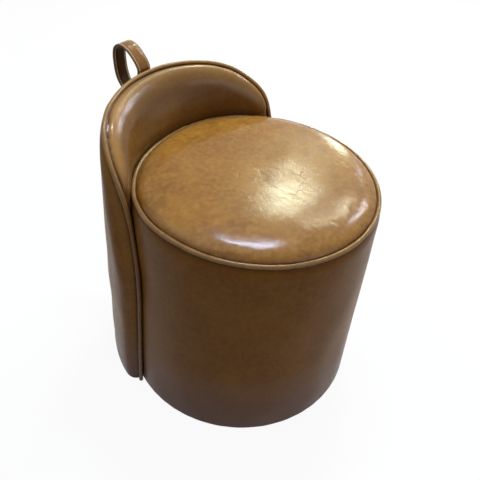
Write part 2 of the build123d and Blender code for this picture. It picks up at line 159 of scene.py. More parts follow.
def makePiece(name, points, faces, tone=None, uv=None, flip=False):
    # a mesh object at the origin from points in millimetres about the drum's axis
    verts = points.reshape(-1, 3) * 0.001
    verts[:, 1] += axisY
    faces = faces.tolist() if hasattr(faces, "tolist") else faces
    mesh = bpy.data.meshes.new(name)
    mesh.from_pydata(verts.tolist(), [], faces if flip else [face[::-1] for face in faces])
    mesh.polygons.foreach_set("use_smooth", np.ones(len(mesh.polygons), bool))
    if tone is not None:
        addLayer(mesh, "tone", tone)
    if uv is not None:
        corner = np.zeros(len(mesh.loops), np.int32)
        mesh.loops.foreach_get("vertex_index", corner)
        layer = mesh.uv_layers.new(name="UVMap")
        layer.data.foreach_set("uv", uv.reshape(-1, 2)[corner].astype(np.float32).reshape(-1))
    mesh.update()
    return addObject(name, mesh)


def makeSheet(name, grid, tone=None, ends=(), wrapRows=False, wrapCols=True, flip=True):
    # a piece from a grid of points; its first row (0), last row (-1) or both end in a fan round the row's middle
    rows, cols = grid.shape[:2]
    k = np.arange(cols)
    after, top = (k + 1) % cols, (rows - 1) * cols
    faces = gridFaces(rows, cols, wrapRows, wrapCols).tolist()
    for n, end in enumerate(ends):
        pole = np.full(cols, rows * cols + n)
        faces += np.stack([k, pole, after] if end == 0 else [top + k, top + after, pole], axis=-1).tolist()
    verts = np.vstack([grid.reshape(-1, 3)] + [grid[end].mean(axis=0) for end in ends])
    if tone is not None:
        tone = np.append(tone.reshape(-1), [tone[end].mean() for end in ends])
    return makePiece(name, verts, faces, tone=tone, flip=flip)


def tube(name, path, radius, sides, closed, shade=None):
    # a round tube: rings square to the path, turned so that their first point looks away from the drum's axis
    outward = path * [1, 1, 0]
    run = unit(np.roll(path, -1, axis=0) - np.roll(path, 1, axis=0) if closed else np.gradient(path, axis=0))
    out = unit(outward - (outward * run).sum(1, keepdims=True) * run)
    across = np.cross(run, out)
    turn = np.linspace(0, 2 * np.pi, sides, endpoint=False)
    ring = out[:, None] * np.cos(turn)[:, None] + across[:, None] * np.sin(turn)[:, None]
    grid = path[:, None] + ring * np.asarray(radius, float).reshape(-1, 1, 1)
    along = lengthAlong(path) * 0.001
    uv = np.stack(np.broadcast_arrays(along[:, None], turn / (2 * np.pi)), axis=-1)
    tone = np.broadcast_to(shade(turn) if shade else 0 * turn, grid.shape[:2])
    faces = gridFaces(len(path), sides, closed, True).tolist()
    if not closed:
        # a fan closes each end
        k = np.arange(sides)
        after, top, pole = (k + 1) % sides, (len(path) - 1) * sides, np.full(sides, len(path) * sides)
        faces += np.stack([after, k, pole], -1).tolist() + np.stack([top + k, top + after, pole + 1], -1).tolist()
        grid = np.vstack([grid.reshape(-1, 3), path[0], path[-1]])
        uv = np.vstack([uv.reshape(-1, 2), [0, 0], [along[-1], 0]])
        tone = np.append(tone.reshape(-1), [0.0, 0.0])
    return makePiece(name, grid, faces, tone=tone, uv=uv, flip=True)


def thicken(piece, thickness):
    # gives a skin its thickness, laid inwards
    wall = piece.modifiers.new("thickness", "SOLIDIFY")
    wall.thickness = thickness * 0.001
    wall.offset = -1.0
    wall.use_even_offset = False
    return piece


# Materials

class Shading:
    # one node tree: a value given to a socket is a number, a colour or another node's output
    def __init__(self, owner):
        owner.use_nodes = True
        self.owner, self.tree = owner, owner.node_tree
        self.tree.nodes.clear()

    def node(self, kind, inputs=None, **settings):
        made = self.tree.nodes.new("ShaderNode" + kind)
        for key, value in settings.items():
            setattr(made, key, value)
        for key, value in (inputs or {}).items():
            socket = made.inputs[key]
            if hasattr(value, "is_output"):
                self.tree.links.new(value, socket)
            else:
                socket.default_value = (*value, 1.0) if socket.type == "RGBA" else value
        return made

    def mix(self, factor, a, b):
        return self.node("Mix", {0: factor, 6: a, 7: b}, data_type="RGBA").outputs[2]

    def ramp(self, source, low, high, toLow=0.0, toHigh=1.0):
        return self.node("MapRange", {0: source, 1: low, 2: high, 3: toLow, 4: toHigh}).outputs[0]

    def maths(self, how, a, b=0.0):
        return self.node("Math", {0: a, 1: b}, operation=how).outputs[0]

    def times(self, a, b):
        return self.maths("MULTIPLY", a, b)

    def plus(self, a, b):
        return self.maths("ADD", a, b)

    def noise(self, place, scale, detail=2.0, roughness=0.5, distortion=0.0):
        values = {"Vector": place, "Scale": scale, "Detail": detail, "Roughness": roughness, "Distortion": distortion}
        return self.node("TexNoise", values).outputs[0]

    def cells(self, place, scale, **settings):
        return self.node("TexVoronoi", {"Vector": place, "Scale": scale}, **settings).outputs["Distance"]

    def laid(self, place, scale, turned=(0.0, 0.0, 0.0)):
        return self.node("Mapping", {"Vector": place, "Rotation": turned, "Scale": scale}).outputs[0]

    def bump(self, height, strength, distance):
        return self.node("Bump", {"Strength": strength, "Distance": distance, "Height": height}).outputs[0]

    def seen(self):
        # 1 for what the camera sees, also in a mirror or through glass, and 0 for the light that it sends on
        path = self.node("LightPath").outputs
        mirrored = self.maths("MAXIMUM", path["Is Glossy Ray"], path["Is Transmission Ray"])
        return self.maths("MAXIMUM", path["Is Camera Ray"], mirrored)

    def end(self, kind, last):
        self.tree.links.new(last.outputs[0], self.node("Output" + kind).inputs[0])
        return self.owner


class Finish(Shading):
    # a material with one Principled shader, which reads the piece's own Object coordinates
    def __init__(self, name):
        super().__init__(bpy.data.materials.new(name))
        self.place = self.node("TexCoord").outputs["Object"]

    def height(self):
        return self.node("SeparateXYZ", {0: self.place}).outputs[2]

    def made(self, colour, rough, bump, **more):
        inputs = {"Base Color": colour, "Roughness": rough, "Normal": bump}
        inputs.update({key.replace("_", " "): value for key, value in more.items()})
        return self.end("Material", self.node("BsdfPrincipled", inputs))


def leather(name, look):
    # waxed pull-up leather: cloudy patina, flecks, a fine grain, thin creases and paler worn crests
    m = Finish(name)
    cloud = m.noise(m.place, look["cloud"])
    patch = m.noise(m.place, look["patch"], 6.0, 0.60)
    blotch = m.noise(m.place, look["patch"] * 0.42, 5.0, 0.55)
    fleck = m.noise(m.place, 460.0, 2.0, 0.6)
    base = m.mix(m.ramp(cloud, 0.38, 0.62), look["dark"], look["mid"])
    base = m.mix(m.ramp(patch, 0.44, 0.72, 0.0, look["mottle"]), base, look["light"])
    base = m.mix(m.ramp(blotch, 0.52, 0.34, 0.0, 0.65 * look["mottle"]), base, look["deep"])
    base = m.mix(m.ramp(fleck, 0.58, 0.76, 0.0, 0.16), base, look["light"])
    # paler for painted highlights and worn lining edges, darker for painted shade and dyed edges: both from the tone
    tone, sat = (m.node("Attribute", attribute_name=key, attribute_type="GEOMETRY").outputs["Fac"]
                 for key in ("tone", "sat"))
    base = m.mix(m.ramp(m.plus(tone, m.times(patch, 0.25)), 0.15, 1.15), base, look["paleTone"])
    base = m.mix(m.ramp(tone, -0.05, -1.0, 0.0, 0.8), base, look["seam"])
    # creases: edges of stretched cells, a little bent, where the leather has been sat on
    bent = m.node("TexNoise", {"Vector": m.place, "Scale": 42.0, "Detail": 2.0}).outputs[1]
    bent = m.node("VectorMath", {0: bent, 3: 0.012}, operation="SCALE").outputs[0]
    bent = m.node("VectorMath", {0: m.place, 1: bent}, operation="ADD").outputs[0]
    creases = None
    for turn, size, width, spread in ((0.5, 46.0, 0.030, 27.0), (1.7, 68.0, 0.036, 36.0), (2.6, 92.0, 0.045, 48.0)):
        laid = m.laid(bent, (1.0, 0.42, 0.7), (0.2, 0.1, turn))
        edge = m.ramp(m.cells(laid, size, feature="DISTANCE_TO_EDGE"), 0.0, width, 1.0, 0.0)
        line = m.times(edge, m.ramp(m.noise(laid, spread, 1.0), 0.44, 0.60))
        creases = line if creases is None else m.maths("MAXIMUM", creases, line)
    creases = m.times(creases, sat)
    # painted shade: the creases are also darkened in the colour
    base = m.mix(m.times(creases, 0.30), base, look["deep"])
    # painted sheen: paler and greyer towards the floor, where the floor's reflection would fall
    base = m.mix(m.times(m.ramp(m.height(), 0.15, 0.0), look["dust"]), base, (0.200, 0.125, 0.112))
    grain = m.cells(m.place, 900.0, feature="SMOOTH_F1")
    pores = m.noise(m.place, 2400.0)
    waves = m.noise(m.place, 75.0, 5.0, 0.6)
    relief = m.plus(m.times(grain, 0.10), m.times(pores, 0.05))
    relief = m.plus(relief, m.times(waves, look["ripple"]))
    relief = m.maths("SUBTRACT", relief, m.times(creases, 0.19))
    bump = m.bump(relief, look["bump"], 0.0011)
    rough = m.ramp(patch, 0.35, 0.70, look["rough"] - 0.04, look["rough"] + 0.08)
    return m.made(base, rough, bump, Coat_Normal=bump, Coat_Weight=look["coat"], Coat_Roughness=look["gloss"],
                  Specular_IOR_Level=look["shine"])


# the pale colour is for painted highlights and worn edges, seam for painted shade and dyed edges; a painted floor
# sheen sits low
seatLook = {
    "cloud": 12.0, "patch": 120.0, "mottle": 0.60, "dust": 0.0, "ripple": 0.10, "bump": 0.45, "rough": 0.30,
    "gloss": 0.13, "shine": 0.08, "coat": 0.36, "dark": (0.240, 0.098, 0.014), "mid": (0.298, 0.129, 0.018),
    "light": (0.420, 0.205, 0.032), "deep": (0.165, 0.061, 0.010), "paleTone": (0.40, 0.24, 0.090),
    "seam": (0.040, 0.015, 0.007),
}
wallLook = dict(seatLook, mottle=0.35, dust=0.95, rough=0.34, shine=0.05, coat=0.035, gloss=0.22, ripple=0.06,
                dark=(0.196, 0.077, 0.013), mid=(0.240, 0.102, 0.018), light=(0.310, 0.143, 0.030),
                deep=(0.140, 0.052, 0.010))
padLook = dict(seatLook, mottle=0.35, gloss=0.15, ripple=0.05, dark=(0.140, 0.060, 0.011), mid=(0.176, 0.080, 0.015),
               light=(0.240, 0.118, 0.026), paleTone=(0.365, 0.180, 0.045))
pipingLook = dict(seatLook, mottle=0.40, rough=0.29, patch=95.0, coat=0.32, dark=(0.200, 0.088, 0.018),
                  mid=(0.260, 0.120, 0.026), light=(0.36, 0.185, 0.048))
strapLook = dict(pipingLook, patch=110.0, ripple=0.80, coat=0.30, gloss=0.08, bump=0.7, dark=(0.19, 0.074, 0.012),
                 mid=(0.245, 0.100, 0.017), light=(0.34, 0.160, 0.036))
liningLook = dict(pipingLook, mottle=0.5, rough=0.42, coat=0.05, dark=(0.045, 0.018, 0.007),
                  mid=(0.062, 0.026, 0.010), light=(0.10, 0.044, 0.018), paleTone=(0.30, 0.15, 0.048))


def thread(name):
    # waxed thread with a fine twist
    m = Finish(name)
    twist = m.noise(m.place, 1500.0)
    colour = m.mix(m.ramp(twist, 0.3, 0.7), (0.62, 0.44, 0.24), (0.93, 0.78, 0.55))
    return m.made(colour, 0.5, m.bump(twist, 0.4, 0.0003))


def steel(name, colour, other, rough):
    # plated metal: faint brushing and cloudy dulling
    m = Finish(name)
    lines = m.noise(m.laid(m.place, (1.0, 1.0, 0.06)), 1800.0)
    dull = m.noise(m.place, 120.0, 4.0)
    colour = m.mix(m.ramp(dull, 0.40, 0.68), colour, other)
    rough = m.ramp(dull, 0.3, 0.7, rough - 0.06, rough + 0.14)
    return m.made(colour, rough, m.bump(lines, 0.25, 0.0002), Metallic=1.0)


def wood(name, pale, dark, stretch, plies=False):
    # wood: long grain stretched along one axis, and thin glue lines when it is plywood
    m = Finish(name)
    laid = m.laid(m.place, stretch)
    grain = m.noise(laid, 190.0, 6.0, 0.6, 0.4)
    colour = m.mix(m.ramp(grain, 0.36, 0.64), dark, pale)
    colour = m.mix(m.ramp(m.noise(laid, 28.0, 3.0), 0.40, 0.70, 0.0, 0.4), colour, dark)
    if plies:
        glue = m.ramp(m.maths("PINGPONG", m.height(), 0.0015), 0.0011, 0.0014, 0.0, 0.45)
        colour = m.mix(glue, colour, dark)
    return m.made(colour, 0.62, m.bump(grain, 0.4, 0.0005))


def foam(name, pale, dark, scale):
    # cut foam or wadding: small open cells, slightly yellowed in patches
    m = Finish(name)
    cell = m.cells(m.place, scale)
    colour = m.mix(m.ramp(cell, 0.1, 0.6), dark, pale)
    colour = m.mix(m.ramp(m.noise(m.place, 22.0, 5.0), 0.45, 0.7, 0.0, 0.4), colour, dark)
    return m.made(colour, 0.9, m.bump(cell, 0.7, 0.0008), Sheen_Weight=0.3)


def spunCloth(name, pale, dark, scale):
    # spun cloth: pressed dots in rows over tangled fibres
    m = Finish(name)
    fibre = m.noise(m.place, 900.0, 5.0, 0.5, 1.2)
    dots = m.node("TexVoronoi", {"Vector": m.place, "Scale": scale, "Randomness": 0.15}).outputs["Distance"]
    pressed = m.ramp(dots, 0.20, 0.30)
    colour = m.mix(pressed, dark, m.mix(m.ramp(fibre, 0.35, 0.65), dark, pale))
    relief = m.plus(m.times(pressed, 0.6), m.times(fibre, 0.4))
    return m.made(colour, 0.85, m.bump(relief, 0.5, 0.0004))


def laidCord(name):
    # laid cord: three strands winding round, from the tube's own length and turn
    m = Finish(name)
    along, turn = m.node("SeparateXYZ", {0: m.node("TexCoord").outputs["UV"]}).outputs[:2]
    strand = m.maths("PINGPONG", m.plus(m.times(along, 110.0), m.times(turn, 3.0)), 0.5)
    colour = m.mix(m.ramp(strand, 0.02, 0.3), (0.34, 0.27, 0.18), (0.72, 0.65, 0.52))
    colour = m.mix(m.ramp(m.noise(m.place, 1600.0, 3.0), 0.4, 0.7, 0.0, 0.4), colour, (0.50, 0.43, 0.32))
    return m.made(colour, 0.85, m.bump(strand, 0.8, 0.0006))


def plastic(name):
    # moulded plastic, scuffed paler by the floor
    m = Finish(name)
    scuff = m.noise(m.place, 160.0, 5.0, 0.5, 1.0)
    colour = m.mix(m.ramp(scuff, 0.55, 0.72, 0.0, 0.5), (0.018, 0.018, 0.019), (0.09, 0.088, 0.085))
    fine = m.noise(m.place, 1400.0, 3.0)
    return m.made(colour, m.ramp(scuff, 0.4, 0.7, 0.42, 0.62), m.bump(fine, 0.35, 0.0002))


seatLeather = leather("seatLeather", seatLook)
wallLeather = leather("wallLeather", wallLook)
padLeather = leather("padLeather", padLook)
pipingLeather = leather("pipingLeather", pipingLook)
strapLeather = leather("strapLeather", strapLook)
liningLeather = leather("liningLeather", liningLook)
waxedThread = thread("waxedThread")
zincSteel = steel("zincSteel", (0.56, 0.56, 0.54), (0.40, 0.40, 0.41), 0.34)
darkBrass = steel("darkBrass", (0.30, 0.20, 0.085), (0.14, 0.088, 0.04), 0.36)
plywood = wood("birchPlywood", (0.60, 0.43, 0.25), (0.40, 0.25, 0.12), (0.07, 1.0, 1.0), plies=True)
bentPlywood = wood("bentPlywood", (0.60, 0.43, 0.25), (0.38, 0.24, 0.12), (1.0, 1.0, 0.07))
softwood = wood("pineWood", (0.66, 0.47, 0.26), (0.44, 0.27, 0.12), (1.0, 1.0, 0.07))
hardboard = wood("hardboard", (0.20, 0.125, 0.070), (0.13, 0.078, 0.042), (0.07, 1.0, 1.0))
seatFoamStuff = foam("seatFoamStuff", (0.78, 0.71, 0.49), (0.60, 0.50, 0.28), 620.0)
sheetFoamStuff = foam("sheetFoamStuff", (0.74, 0.72, 0.64), (0.56, 0.53, 0.43), 760.0)
waddingStuff = foam("waddingStuff", (0.88, 0.88, 0.86), (0.70, 0.70, 0.68), 260.0)
blackCloth = spunCloth("blackCloth", (0.035, 0.035, 0.037), (0.012, 0.012, 0.013), 640.0)
cottonCord = laidCord("cottonCord")
glidePlastic = plastic("glidePlastic")
print("stool: materials made")


def dress(piece, material, standsFor, body="stool"):
    # gives a piece its finish, the node that it stands for and the body that it rides on
    piece.data.materials.clear()
    piece.data.materials.append(material)
    if standsFor:
        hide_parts(standsFor)
    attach(piece, body)
    return piece


zincNodes = ("glide_nails", "frame_screws", "shell_pins", "hem_staples", "back_bolts", "bolt_washers", "bolt_bushes",
             "tee_nuts")
for nodeName, finish in {
    **dict.fromkeys(zincNodes, zincSteel), **dict.fromkeys(("strap_bracket", "bracket_screws"), darkBrass),
    **dict.fromkeys(("base_board", "top_board", "strap_block"), plywood), "back_former": bentPlywood,
    "uprights": softwood, "drum_shell": hardboard, "glides": glidePlastic,
}.items():
    for materialSlot in nodes[nodeName].material_slots:
        materialSlot.material = finish


# The seat: a crowned round cushion over block foam and wadding

def seatHeight(share, crown):
    # height of the crown over the seam: a full roll at the rim on a shallow dome
    share = np.clip(share, 0.0, 1.0)
    return crown * (0.80 * np.sqrt(1 - share ** 6.5) + 0.20 * (1 - share ** 2))


def seatBottom(inset):
    return seat["bottomZ"] + 0.4 * inset + 0.3


def seatSurface(inset, cols, rows):
    # ringed grid: from the axis over the crown to the seam, then down the hidden side
    t = np.linspace(0.0, 1.0, rows)[1:]
    share = np.concatenate([[seat["middle"]], np.sin(t * np.pi / 2) ** 0.82, np.ones(4)])
    edge, crown = seat["edgeZ"], seat["crown"] - inset
    sideZ = [edge - 2.0, edge - 8.0, edge - 24.0, seatBottom(inset)]
    height = np.concatenate([[edge + crown], edge + seatHeight(share[1:-4], crown), sideZ])[:, None]
    share = share[:, None]
    angle = ringAngles(cols)
    r = (seat["side"] - inset) * share - seatPush(angle) * share ** 5 * (height > edge - 12)
    return r, np.broadcast_to(angle, r.shape), np.broadcast_to(height, r.shape), share


def makeSeatCover():
    r, angle, z, share = seatSurface(0.0, 360, 84)
    points = placed(r, angle, z)
    turn = np.radians(angle)
    toSeam = (1 - share) * seat["side"]
    # the leather lies over soft filling: long shallow waves, and small gathers where the seam holds it
    long = softField(points, 120.0, 11) * 0.25 + softField(points, 42.0, 12) * 0.07
    gather = np.sin(turn * 67 + 2.2 * np.sin(turn * 5)) * (0.55 + 0.45 * np.sin(turn * 9 + 1))
    nearSeam = np.exp(-toSeam / 7.0) * (z > seat["edgeZ"])
    points[..., 2] += (long * (1 - share ** 8) + gather * nearSeam * 0.40) * (z > seat["edgeZ"] + 0.5)
    # painted shade on the hidden side and in a narrow band beside the seam; a faint painted highlight band along the
    # crown's rim
    tone = np.where(z > seat["edgeZ"] + 0.2, 0.0, -1.0)
    tone = tone + 0.16 * np.exp(-((share - 0.93) / 0.05) ** 2) - 0.75 * np.exp(-toSeam / 2.6)
    return makeSheet("seatCover", points[::-1], tone[::-1], ends=(-1,), flip=False)


seatCover = makeSeatCover()


def vertexPlaces(mesh):
    flat = np.zeros(len(mesh.vertices) * 3)
    mesh.vertices.foreach_get("co", flat)
    return flat.reshape(-1, 3)


def plumpUp(piece, pinned, pressure, cap, frames=20):
    # blows a thin skin up by cloth simulation from its held edge, and keeps a capped part of the move
    group = piece.vertex_groups.new(name="held")
    group.add(pinned, 1.0, "REPLACE")
    cloth = piece.modifiers.new("blow", "CLOTH")
    for key, value in {
        "quality": 5, "mass": 0.4, "tension_stiffness": 60, "compression_stiffness": 60, "shear_stiffness": 20,
        "bending_stiffness": 4, "use_pressure": True, "uniform_pressure_force": pressure, "vertex_group_mass": "held",
    }.items():
        setattr(cloth.settings, key, value)
    cloth.settings.effector_weights.gravity = 0
    cloth.collision_settings.use_collision = False
    cloth.point_cache.frame_start, cloth.point_cache.frame_end = 1, frames
    before = vertexPlaces(piece.data)
    for step in range(1, frames + 1):
        bpy.context.scene.frame_set(step)
    move = vertexPlaces(piece.evaluated_get(bpy.context.evaluated_depsgraph_get()).data) - before
    size = np.linalg.norm(move, axis=1, keepdims=True)
    move *= np.minimum(1.0, cap * 0.001 / np.maximum(size, 1e-9))
    piece.modifiers.remove(cloth)
    piece.vertex_groups.remove(group)
    bpy.context.scene.frame_set(1)
    piece.data.vertices.foreach_set("co", (before + move).reshape(-1))
    piece.data.update()
    most, kept = (round(float(np.linalg.norm(m, axis=1).max()) * 1000, 2) for m in (size, move))
    print("stool:", piece.name, "plumped by", most, "mm at most, kept", kept)


seatPoints = vertexPlaces(seatCover.data)
fromSpot = np.linalg.norm((seatPoints - [0.045, axisY - 0.040, 0])[:, :2], axis=1)     # where it was sat on most
addLayer(seatCover.data, "sat", 1 - 0.9 * smoothStep((fromSpot - 0.05) / 0.13))
plumpUp(seatCover, np.nonzero(seatPoints[:, 2] < (seat["edgeZ"] + 1.0) * 0.001)[0].tolist(), 1.2, 3.0)
thicken(seatCover, drum["leather"])
dress(seatCover, seatLeather, "seat_cover")


def makeSeatFoam(inset=7.4):
    # a closed block under the cover: the same crown drawn in, and a flat underside
    r, angle, z, _ = seatSurface(inset, 200, 40)
    points = placed(r, angle, z)
    points[..., 2] += softField(points, 70.0, 21) * 0.25 * (z > seat["edgeZ"] + 2)
    bottom = placed(np.full_like(r[:1], seat["side"] * 0.03), angle[:1], seatBottom(inset))
    return makeSheet("seatFoam", np.concatenate([points, bottom])[::-1], ends=(0, -1), flip=False)


dress(makeSeatFoam(), seatFoamStuff, "seat_foam")


def makeSeatWadding():
    # a quilted sheet between the foam and the leather
    r, angle, z, _ = seatSurface(1.7, 240, 50)
    points = placed(r, angle, z)[::-1]
    points[..., 2] -= np.abs(softField(points, 26.0, 33)) * 0.5
    return makeSheet("seatWadding", points, ends=(-1,), flip=False)


dress(thicken(makeSeatWadding(), 4.6), waddingStuff, "seat_wadding")


def seatRing(count):
    # the seat piping's middle line: a ring pushed in where the back presses it, with a nick at its lapped joint
    angle = ringAngles(count)
    r = seat["pipingRing"] - seatPush(angle)
    r = r + 1.1 * np.exp(-((angle - 9.0) / 1.6) ** 2) - 0.5 * np.exp(-((angle - 13.0) / 2.2) ** 2)
    z = seat["edgeZ"] + 0.35 * np.sin(np.radians(angle) * 3 + 0.7) + 0.18 * np.sin(np.radians(angle) * 11)
    return placed(r, angle, z)


def ringShade(turn):
    # painted highlight above and outside, painted shade where it meets the leathers
    return 0.35 * np.maximum(np.cos(turn - 0.5), 0) ** 2 - 0.25 * smoothStep((0.05 - np.cos(turn)) / 0.5)


ringPath = seatRing(720)
ringRadius = (seat["piping"] - 0.12) * (1 + 0.035 * softField(ringPath, 31.0, 5))
seatPiping = tube("seatPiping", ringPath, ringRadius, 18, True, ringShade)
dress(seatPiping, pipingLeather, "seat_piping")
seatCord = tube("seatPipingCord", seatRing(360), seat["cord"] - 0.1, 12, True)
dress(seatCord, cottonCord, "seat_piping_cord")
print("stool: seat made")


# The drum's leather and its foam

def drumProfile(inset, steps):
    # from under the piping out over the shoulder, down the wall and round the foot
    side, foot = drum["radius"] - inset, drum["foot"]
    t = np.linspace(0, 1, steps)
    shoulderR = (drum["tipRadius"] - inset) + (drum["radius"] - drum["tipRadius"]) * np.sin(t * np.pi / 2) ** 0.75
    shoulderZ = (drum["top"] - inset) + (drum["wallTop"] - drum["top"]) * t
    wallZ = np.linspace(drum["wallTop"], drum["floor"] + foot, 64)[1:]
    turn = np.linspace(0, np.pi / 2, 8)[1:]
    footR = side - foot + foot * np.cos(turn)
    footZ = drum["floor"] + inset + foot - foot * np.sin(turn)
    return np.concatenate([shoulderR, np.full_like(wallZ, side), footR]), np.concatenate([shoulderZ, wallZ, footZ])


def shoulderPush(angle, z):
    # what the back presses into the drum's shoulder: seven tenths of its push on the seat
    return seatPush(angle) * 0.7 * smoothStep((z - 392) / 12)


def makeDrumCover():
    r, z = drumProfile(0.0, 12)
    hemR = np.linspace(drum["radius"] - drum["foot"], drum["radius"] - drum["hem"] + 1.0, 7)[1:]
    r = np.concatenate([[seat["side"] + 0.6], r, hemR])
    z = np.concatenate([[drum["top"] - 0.2], z, np.full_like(hemR, drum["floor"])])
    rr, aa, zz = np.broadcast_arrays(r[:, None], ringAngles(420), z[:, None])
    points, turn = placed(rr, aa, zz), np.radians(aa)
    wall = smoothStep((zz - 8) / 40) * smoothStep((402 - zz) / 30)
    low = smoothStep((150 - zz) / 130)
    # upright tension waves that fade upwards, small dents, and gathers at the foot where the hem is pulled in
    upright = softField(points * [1, 1, 0.18], 58.0, 71) * (0.28 + 0.30 * low)
    dents = softField(points, 120.0, 72) * 0.30
    pleats = np.sin(turn * 41 + 3 * np.sin(turn * 4)) * np.exp(-np.abs(zz - drum["floor"]) / 9.0) * 0.18
    rr = rr + (upright + dents) * wall + pleats * (zz < 60) - 0.35 - shoulderPush(aa, zz)
    zz = zz + 0.2 * np.sin(turn * 23) * (zz < drum["floor"] + 0.5) * (drum["radius"] - rr) / drum["hem"]
    # painted shade: darker on the shoulder under the seat's piping and towards the foot
    tone = -0.55 * smoothStep((zz - 394) / 12) - 0.45 * smoothStep((20 - zz) / 16) + 0.05
    return makeSheet("drumCover", placed(rr, aa, zz), tone)


dress(thicken(makeDrumCover(), drum["leather"]), wallLeather, "drum_cover")


def makeDrumFoam():
    # a closed wrap: the cover's profile drawn in, and its own straight inner face
    r, z = drumProfile(drum["foamInset"], 10)
    r = np.concatenate([r, [203.2, 203.2, 203.2, 207.0]])
    z = np.concatenate([np.maximum(z, drum["foamBottom"]), [drum["foamBottom"], 200.0, 366.0, 367.5]])
    rr, aa, zz = np.broadcast_arrays(r[:, None], ringAngles(180), z[:, None])
    rr = np.minimum(rr, drum["radius"] - drum["foamInset"] - shoulderPush(aa, zz))
    return makeSheet("drumFoam", placed(rr, aa, zz), wrapRows=True)


dress(makeDrumFoam(), sheetFoamStuff, "drum_foam")


def makeDustCloth():
    # a round of thin cloth under the frame, drawn a little slack between its fixings
    radius = np.concatenate([[3.0], np.linspace(10.0, 203.2, 40)])
    rr, aa = np.broadcast_arrays(radius[:, None], ringAngles(160))
    slack = 0.10 * np.sin(np.radians(aa) * 16 + rr / 30) * smoothStep(rr / 90)
    points = placed(rr, aa, 4.42 + (slack + 0.06 * softField(placed(rr, aa, 0), 60, 8)))
    return makeSheet("dustCloth", points, ends=(0,), flip=False)


dustCloth = dress(thicken(makeDustCloth(), 0.5), blackCloth, "dust_cover")
print("stool: drum made")


# The back: two leather panels over foam, joined by piping along the arched edge

archLine = smoothCurve([(-angle, z) for angle, z in back["arch"][:0:-1]] + list(back["arch"]), 10)
archLine = archLine[archLine[:, 0] >= -1e-9]
crestLine = smoothCurve(back["crest"], 10)
edgeAngle = np.append(archLine[:, 0], back["halfAngle"])
edgeZ = np.append(archLine[:, 1], back["floor"])
flatEdge = np.stack([np.radians(edgeAngle) * back["crestSide"], edgeZ], axis=-1)
flatEdge = np.vstack([[-flatEdge[1, 0], flatEdge[1, 1]], flatEdge, [flatEdge[-1, 0], -back["topZ"]]])


def crestRadius(z):
    # the piping's own distance from the axis at a height: upright at the sides, leaning out above the seat
    return np.interp(z, crestLine[:, 0], crestLine[:, 1])


def insideEdge(angle, z):
    # how far a point of the back lies inside its edge, on the sheet laid flat, less the piping's own room
    s = np.radians(np.abs(angle)) * back["crestSide"]
    a, b = flatEdge[:-1], flatEdge[1:]
    run = b - a
    q = np.stack([s, z], axis=-1)[..., None, :] - a
    t = np.clip((q * run).sum(-1) / (run * run).sum(-1), 0.0, 1.0)
    return np.sqrt(((q - t[..., None] * run) ** 2).sum(-1)).min(-1) - back["pipingRoom"]


def edgeNormal(angle, z):
    # the way out to the edge on the flat sheet: how fast the inside distance falls sideways and upwards
    step = 0.4
    turn = math.degrees(step / back["crestSide"])
    side = insideEdge(angle + turn, z) - insideEdge(angle - turn, z)
    up = insideEdge(angle, z + step) - insideEdge(angle, z - step)
    size = np.maximum(np.hypot(side, up), 1e-6)
    return -side / size, -up / size


def topAt(angle, inset):
    # the height at which a sheet drawn in by `inset` ends, found by halving
    low = np.full(angle.shape, back["floor"])
    high = np.interp(np.abs(angle), archLine[:, 0], archLine[:, 1])
    for _ in range(34):
        middle = (low + high) / 2
        inside = insideEdge(angle, middle) > inset
        low = np.where(inside, middle, low)
        high = np.where(inside, high, middle)
    return low


def outerRadius(angle, z):
    end = math.cos(math.radians(back["halfAngle"]))
    spread = (np.cos(np.radians(angle)) - end) / (1 - end)
    depth = back["sideDepth"] + (back["rearDepth"] - back["sideDepth"]) * spread
    return drum["radius"] + depth + back["lean"] * smoothStep(z / seat["edgeZ"])


def padFace(angle, z):
    # the inner pad: pressed against the seat's piping at its foot, almost straight, then falling back to the crest
    up = np.clip((z - back["padZ"]) / (back["topZ"] - back["padZ"]), 0.0, 1.0)
    face = drum["radius"] - 1.2 - 3.5 * np.sin(np.pi * up) + 10.0 * smoothStep(up)
    return face - seatPush(angle) * (1 - smoothStep(up / 0.9))


def backStations(count, inset):
    # the grid's columns: angles that crowd towards the two front edges
    end = back["halfAngle"] - math.degrees((back["pipingRoom"] + back["edgeLand"] + inset) / back["crestSide"])
    t = np.linspace(-1.0, 1.0, count)
    return end * np.sign(t) * (1 - (1 - np.abs(t)) ** 1.75)


def innerRadius(angle, z, inside, inset):
    # the inner skin from the axis: the pad's face rolling out to the crest, and the drum's side below the seat
    crest = crestRadius(z)
    face = padFace(angle, z) + inset
    roll = 1 - np.clip(inside / (13.0 + 0.55 * (crest - face)), 0.0, 1.0)
    r = crest - (crest - face) * (1 - roll ** 2.5) ** 0.4
    shelf = np.where(z < back["restZ"] + inset, 0.0, quarterRound((z - back["restZ"] - inset) / 3.0))
    return np.maximum(r, back["drumFit"] + inset) * (1 - shelf) + r * shelf


def innerSkin(inset, count, lowRows, highRows):
    # from the foot up the drum's side, over the seat's edge and up the pad's face to the crest
    angle, drawn = backStations(count, inset), max(inset, 0.0)
    bottom = back["floor"] + drawn
    top = np.maximum(topAt(angle, back["edgeLand"] + inset), bottom + 0.5)
    split = np.maximum(np.minimum(back["restZ"], top - 14.0), bottom)     # the drum's side ends in a shelf here
    t = np.linspace(0, 1, lowRows)[:, None]
    low = bottom + (split - bottom) * (1 - (1 - t) ** 2.4)
    t = np.linspace(0, 1, highRows)[1:, None]
    high = split + (top - split) * (0.5 - 0.5 * np.cos(np.pi * t))
    z = np.concatenate([low, high])
    a = np.broadcast_to(angle, z.shape)
    inside = np.maximum(insideEdge(a, z) - drawn, 0.0)
    return a, z, np.minimum(innerRadius(a, z, inside, drawn), crestRadius(z) - back["slot"]), inside


